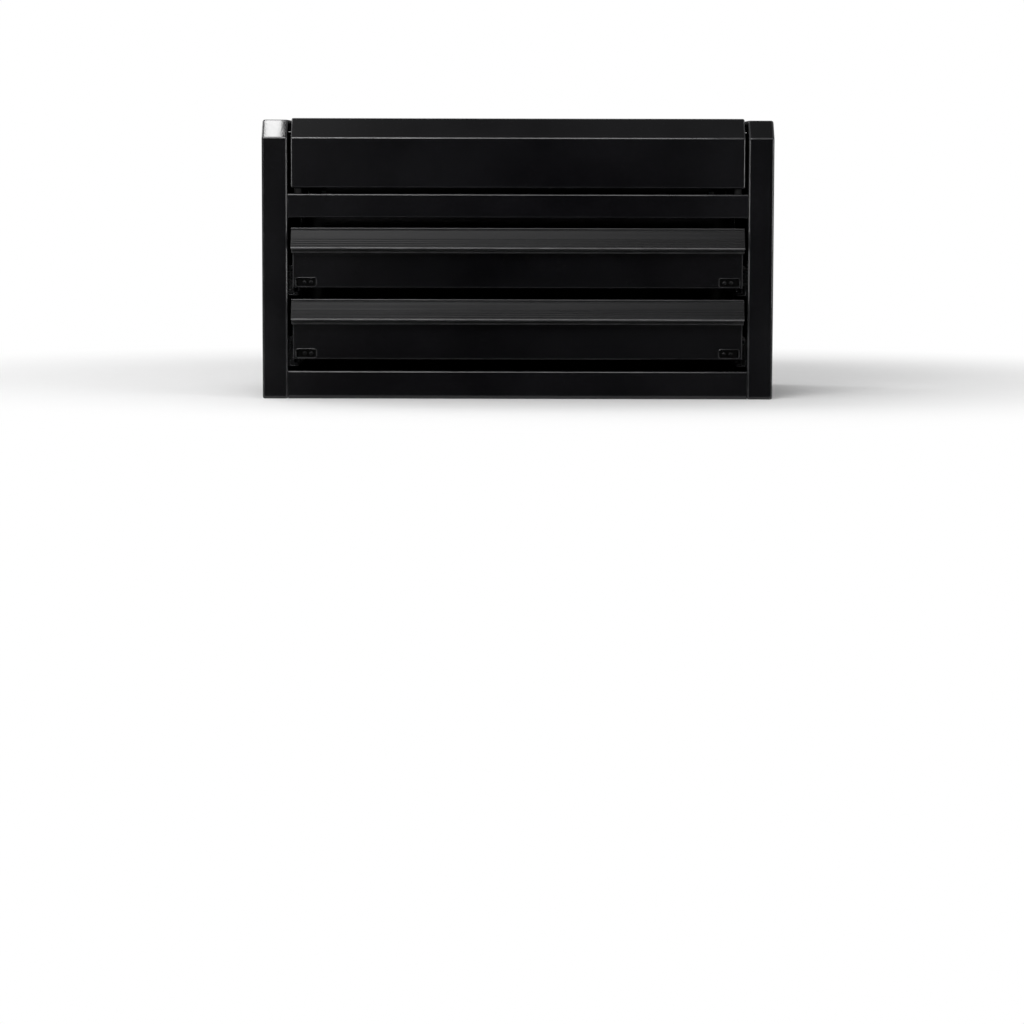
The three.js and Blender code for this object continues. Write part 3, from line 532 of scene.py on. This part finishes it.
def make_strut_rivets(side, sign):
    """Heads on the strut's foot and their tails behind it, then those of the lid's bracket."""
    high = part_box(f"case_strut_bracket_{side}")[1]
    level = high.z - FOOT_DROP
    columns = [sign * x for x in FOOT_COLUMNS]
    spots = [(x, high.y - FOOT_PLATE, level) for x in columns]
    rivets(f"strut_foot_rivets_{side}", spots, OUT_FRONT, FOOT_HEAD, ZINC, "case")
    spots = [(x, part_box("back_panel")[1].y, level) for x in columns]
    rivets(f"strut_foot_tails_{side}", spots, OUT_BACK, FOOT_HEAD, PAINT, "case")

    low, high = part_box(f"lid_strut_bracket_{side}")
    plate = max(abs(low.x), abs(high.x))
    corners = [(y, z) for y in (low.y + BRACKET_INSET, high.y - BRACKET_INSET)
               for z in (low.z + BRACKET_INSET, high.z - BRACKET_INSET)]
    spots = [(sign * (plate - BRACKET_PLATE), y, z) for y, z in corners]
    rivets(f"lid_bracket_rivets_{side}", spots, (-sign, 0, 0), BRACKET_HEAD, ZINC, "lid")
    spots = [(sign * (plate + SKIRT_OUTSIDE), y, z) for y, z in corners]
    rivets(f"lid_skirt_rivets_{side}", spots, (sign, 0, 0), SKIRT_HEAD, PAINT, "lid")


def make_window_rivets(drawer, side, sign):
    """Worn black heads of the two rivets in a corner window."""
    front_low, front_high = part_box(f"{drawer}_drawer_front")
    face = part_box(f"{drawer}_corner_clip_{side}")[0].y + CLIP_PLATE
    middle = (front_high.x - WINDOW_INSET - WINDOW_WIDTH / 2 - CLIP_MARGIN) * sign
    level = front_low.z + WINDOW_MIDDLE
    spots = [(middle + shift, face, level) for shift in (-WINDOW_RIVET_SHIFT, WINDOW_RIVET_SHIFT)]
    rivets(f"{drawer}_window_rivets_{side}", spots, OUT_FRONT, WINDOW_HEAD, WORN, f"{drawer}_drawer")


def ball(centre):
    turns = [math.pi * i / 6 for i in range(1, 6)]
    profile = [(BALL_RADIUS * math.sin(turn), -BALL_RADIUS * math.cos(turn)) for turn in turns]
    return lathe(profile, centre, OUT_BACK, 10)


def rectangle(x0, x1, y0, y1, z):
    return [(x0, y0, z), (x1, y0, z), (x1, y1, z), (x0, y1, z)]


def cage(x, z, start, count):
    """A thin strip along y, pierced by a square window for each of its balls."""
    verts, faces = [], []
    pitch, window = BALL_PITCH * MM, CAGE_HALF_WINDOW
    for i in range(count):
        y0 = start + i * pitch
        y1 = y0 + pitch
        middle = y0 + pitch / 2
        base = len(verts)
        for level in (z - CAGE_HALF_THICK, z + CAGE_HALF_THICK):
            verts += rectangle(x - CAGE_HALF_WIDTH, x + CAGE_HALF_WIDTH, y0, y1, level)
            verts += rectangle(x - window, x + window, middle - window, middle + window, level)
        for k in range(4):
            n = (k + 1) % 4
            o0, o1, i0, i1 = base + k, base + n, base + 4 + k, base + 4 + n
            faces.append((o0, i0, i1, o1))
            faces.append((o0 + 8, o1 + 8, i1 + 8, i0 + 8))
            faces.append((i0, i0 + 8, i1 + 8, i1))
            if k in (1, 3) or (k == 0 and i == 0) or (k == 2 and i == count - 1):
                faces.append((o0, o1, o1 + 8, o0 + 8))
    return verts, faces


def make_ball_rows(drawer, side, sign):
    """Ball rows in their cages, above and below the middle of one slide's members."""
    low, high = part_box(f"{drawer}_slide_outer_{side}")
    balls, strips = [], []
    for across, lift, start, end in BALL_TRACKS:
        x = sign * across * MM
        count = (end - start) // BALL_PITCH
        for up in (-1, 1):
            z = (low.z + high.z) / 2 + up * lift * MM
            strips.append(cage(x, z, start * MM, count))
            places = [(start + BALL_PITCH * (i + 0.5)) * MM for i in range(count)]
            balls += [ball((x, y, z)) for y in places]
    body = f"{drawer}_slide_middle"
    mesh_piece(f"{drawer}_ball_cages_{side}", *merged(strips), STEEL, body, smooth=False)
    mesh_piece(f"{drawer}_balls_{side}", *merged(balls), BALL, body)


def make_small_pieces():
    make_hinge_rivets()
    for side, sign in SIDES:
        make_handle_rivets(side, sign)
        make_strut_rivets(side, sign)
    for make in (make_window_rivets, make_ball_rows):
        for drawer in DRAWERS:
            for side, sign in SIDES:
                make(drawer, side, sign)


# Studio, in metres
ROOM_HALF, ROOM_FRONT, ROOM_BACK, ROOM_HEIGHT = 3.4, -5.4, 2.6, 3.4
CARD_LIFT = 0.001
ONE_FACE = [(0, 1, 2, 3)]


def seen_rays(tree):
    """1 for rays from the camera, a mirror or glass, which see the white surroundings."""
    path = tree.nodes.new("ShaderNodeLightPath")
    total = path.outputs["Is Camera Ray"]
    for name in ("Is Glossy Ray", "Is Transmission Ray"):
        node = tree.nodes.new("ShaderNodeMath")
        node.operation = "MAXIMUM"
        tree.links.new(total, node.inputs[0])
        tree.links.new(path.outputs[name], node.inputs[1])
        total = node.outputs[0]
    return total


def background(tree, strength):
    node = tree.nodes.new("ShaderNodeBackground")
    node.inputs["Color"].default_value = (1, 1, 1, 1)
    node.inputs["Strength"].default_value = strength
    return node.outputs[0]


def make_world():
    """White where it is seen or mirrored, and a dimmer white as light on the chest."""
    world = bpy.data.worlds.new("studio")
    bpy.context.scene.world = world
    world.use_nodes = True
    tree = world.node_tree
    tree.nodes.clear()
    seen = background(tree, 1.0)
    fill = background(tree, 0.45)
    mix = tree.nodes.new("ShaderNodeMixShader")
    tree.links.new(seen_rays(tree), mix.inputs[0])
    tree.links.new(fill, mix.inputs[1])
    tree.links.new(seen, mix.inputs[2])
    out = tree.nodes.new("ShaderNodeOutputWorld")
    tree.links.new(mix.outputs[0], out.inputs[0])


def stage_mesh(name, verts, faces, material):
    mesh = bpy.data.meshes.new(name)
    mesh.from_pydata(verts, [], faces)
    mesh.materials.append(material)
    obj = bpy.data.objects.new(name, mesh)
    bpy.context.scene.collection.objects.link(obj)
    return obj


def make_floor():
    """Pale floor round the chest that fades into the white background along an ellipse."""
    half_width, half_depth, shift = 1.1, 0.9, -0.25
    s = Shader("pale_floor").specular(0.1)
    mottle = s.noise(30, 3, 0.5)
    s.finish(s.mix(mottle, (0.8, 0.8, 0.8), (0.83, 0.83, 0.83)), 0.7, s.bump(mottle, 0.0001))
    centre = s.add("ShaderNodeVectorMath", operation="MULTIPLY_ADD")
    s.put(centre.inputs[0], s.place)
    centre.inputs[1].default_value = (1 / half_width, 1 / half_depth, 0)
    centre.inputs[2].default_value = (0, shift, 0)
    length = s.add("ShaderNodeVectorMath", operation="LENGTH")
    s.put(length.inputs[0], centre.outputs[0])
    fade = s.range(length.outputs["Value"], 0.4, 1.0)
    white = s.add("ShaderNodeEmission")
    white.inputs["Strength"].default_value = 1.0
    mix = s.add("ShaderNodeMixShader")
    s.put(mix.inputs[0], s.product(seen_rays(s.tree), fade))
    s.put(mix.inputs[1], s.bsdf.outputs[0])
    s.put(mix.inputs[2], white.outputs[0])
    s.put(s.surface, mix.outputs[0])
    stage_mesh("floor", rectangle(-2.2, 2.2, -1.2, 2.4, 0), ONE_FACE, s.material)


def glow(name, **stops):
    """Light that changes along axes x, y or z, the product of each axis's (place, strength) stops."""
    s = Shader(name)
    strength = 1
    for letter, points in stops.items():
        place = s.axis("Object", letter.upper())
        share = points[0][1]
        for (start, before), (end, after) in zip(points, points[1:]):
            share = s.math("ADD", s.range(place, start, end, 0, after - before), share)
        strength = s.product(share, strength)
    light = s.add("ShaderNodeEmission")
    s.put(light.inputs["Strength"], strength)
    s.put(s.surface, light.outputs[0])
    return s


def reflection_card(name, verts, faces=ONE_FACE, **stops):
    """A studio card that shows only in reflections and glows as its stops say."""
    card = stage_mesh(name, verts, faces, glow(name, **stops).material)
    card.visible_camera = False
    card.visible_diffuse = False
    card.visible_shadow = False
    card.visible_transmission = False


def upright(x0, y0, x1, y1):
    return [(x0, y0, 0), (x1, y1, 0), (x1, y1, ROOM_HEIGHT), (x0, y0, ROOM_HEIGHT)]


def make_front_cards():
    """A dark card on the floor before the chest that goes on up behind the camera."""
    front, top = -0.175, 2.6
    verts = rectangle(-ROOM_HALF, ROOM_HALF, front, ROOM_FRONT, CARD_LIFT)
    verts += [(ROOM_HALF, ROOM_FRONT, top), (-ROOM_HALF, ROOM_FRONT, top)]
    reflection_card("black_card", verts, [(0, 1, 2, 3), (3, 2, 4, 5)],
                    x=[(-0.6, 0.1), (-0.1, 0.015), (0.1, 0.015), (0.6, 0.055)],
                    y=[(-2.9, 1), (-2.2, 1.9)])


def make_overhead_cards():
    """A grey card for the flat tops, and one in front of it for the slopes of posts and lid."""
    half = 2.4
    reflection_card("grey_card", rectangle(-half, half, -0.85, 1.0, 2.0),
                    x=[(-0.5, 0.36), (-0.05, 0.14), (0.3, 0.18)])
    reflection_card("slope_card", rectangle(-half, half, -1.6, -0.86, 1.99),
                    x=[(-0.4, 1.7), (0.0, 1.0), (0.5, 0.3)],
                    y=[(-1.36, 0), (-1.12, 1)])


def make_room_cards():
    """Cards behind and beside the chest, and one on the floor behind it."""
    reflection_card("back_card", upright(-ROOM_HALF, ROOM_BACK, ROOM_HALF, ROOM_BACK),
                    z=[(0.7, 0.04), (1.3, 0.25)],
                    x=[(-2.4, 4), (-1.2, 1), (1.2, 1), (2.4, 4)])
    for side, sign in SIDES:
        x = sign * ROOM_HALF
        reflection_card(f"side_card_{side}", upright(x, ROOM_FRONT, x, ROOM_BACK),
                        z=[(0.6, 0.45 + 0.2 * sign), (2.0, 0.8)],
                        y=[(-1.8, 0.25), (-0.9, 1)])
    reflection_card("floor_card", rectangle(-ROOM_HALF, ROOM_HALF, 0.7, ROOM_BACK, CARD_LIFT),
                    y=[(0.7, 0.5), (1.3, 0.02)])


def area_light(name, place, target, size, power):
    light = bpy.data.lights.new(name, "AREA")
    light.shape = "RECTANGLE"
    light.size, light.size_y = size
    light.energy = power
    obj = bpy.data.objects.new(name, light)
    obj.location = place
    obj.rotation_euler = (Vector(target) - Vector(place)).to_track_quat("-Z", "Y").to_euler()
    bpy.context.scene.collection.objects.link(obj)
    return obj


def node_collection(name, nodes):
    collection = bpy.data.collections.new(name)
    for node in nodes:
        collection.objects.link(NODES[node])
    return collection


def light_only(lamp, nodes):
    """Lets the lamp light these nodes and nothing else."""
    lamp.light_linking.receiver_collection = node_collection(f"{lamp.name}_lit", nodes)


def keep_off(lamp, nodes):
    """Shields these nodes from the lamp, as a flag beside it would."""
    shielded = node_collection(f"{lamp.name}_shielded", nodes)
    for entry in shielded.collection_objects:
        entry.light_linking.link_state = "EXCLUDE"
    lamp.light_linking.receiver_collection = shielded


def make_lights():
    """Softboxes in front, beside, above and behind, and a strip for the left post's slope."""
    front, side = (0.9, 0.5), (0.4, 0.96)
    area_light("softbox_front_left", (-0.55, -1.75, 1.45), (-0.2, -0.1, 0.2), front, 22)
    area_light("softbox_front_right", (0.12, -1.75, 1.45), (0.1, -0.1, 0.2), (0.44, 0.5), 5)
    left = area_light("softbox_left", (-1.9, -1.6, 0.5), (0, 0, 0.3), side, 16)
    right = area_light("softbox_right", (1.9, -1.6, 0.5), (0, 0, 0.3), side, 16)
    drawer_fronts = [f"{drawer}_drawer_front" for drawer in DRAWERS]
    keep_off(left, drawer_fronts + ["side_panel_left"])
    keep_off(right, drawer_fronts)
    area_light("softbox_top", (-0.5, 1.1, 2.3), (0, 0, 0.16), (1.6, 0.8), 16)
    area_light("softbox_back", (-1.9, 1.25, 1.5), (-0.2, -0.1, 0.3), (0.9, 0.7), 8)
    strip = area_light("strip_over_post", (-0.41, -0.12, 1.9), (-0.41, -0.12, 0), (0.12, 0.3), 2.0)
    light_only(strip, ["side_panel_left"])


def make_camera():
    """A long lens on the photograph's line of sight, a little below the height of the chest's top."""
    down, roll = 5.735, 0.13
    camera = bpy.data.cameras.new("camera")
    camera.sensor_width = 36
    camera.lens = 123.15
    camera.clip_end = 100
    obj = bpy.data.objects.new("camera", camera)
    obj.location = (-0.0062, -4.331, 0.2844)
    pitched = Matrix.Rotation(math.radians(90 - down), 3, "X")
    obj.rotation_euler = (pitched @ Matrix.Rotation(math.radians(roll), 3, "Z")).to_euler()
    bpy.context.scene.collection.objects.link(obj)
    bpy.context.scene.camera = obj


dress_solids()
make_small_pieces()
make_world()
make_floor()
make_front_cards()
make_overhead_cards()
make_room_cards()
make_lights()
make_camera()
bpy.context.scene.view_settings.view_transform = "Standard"
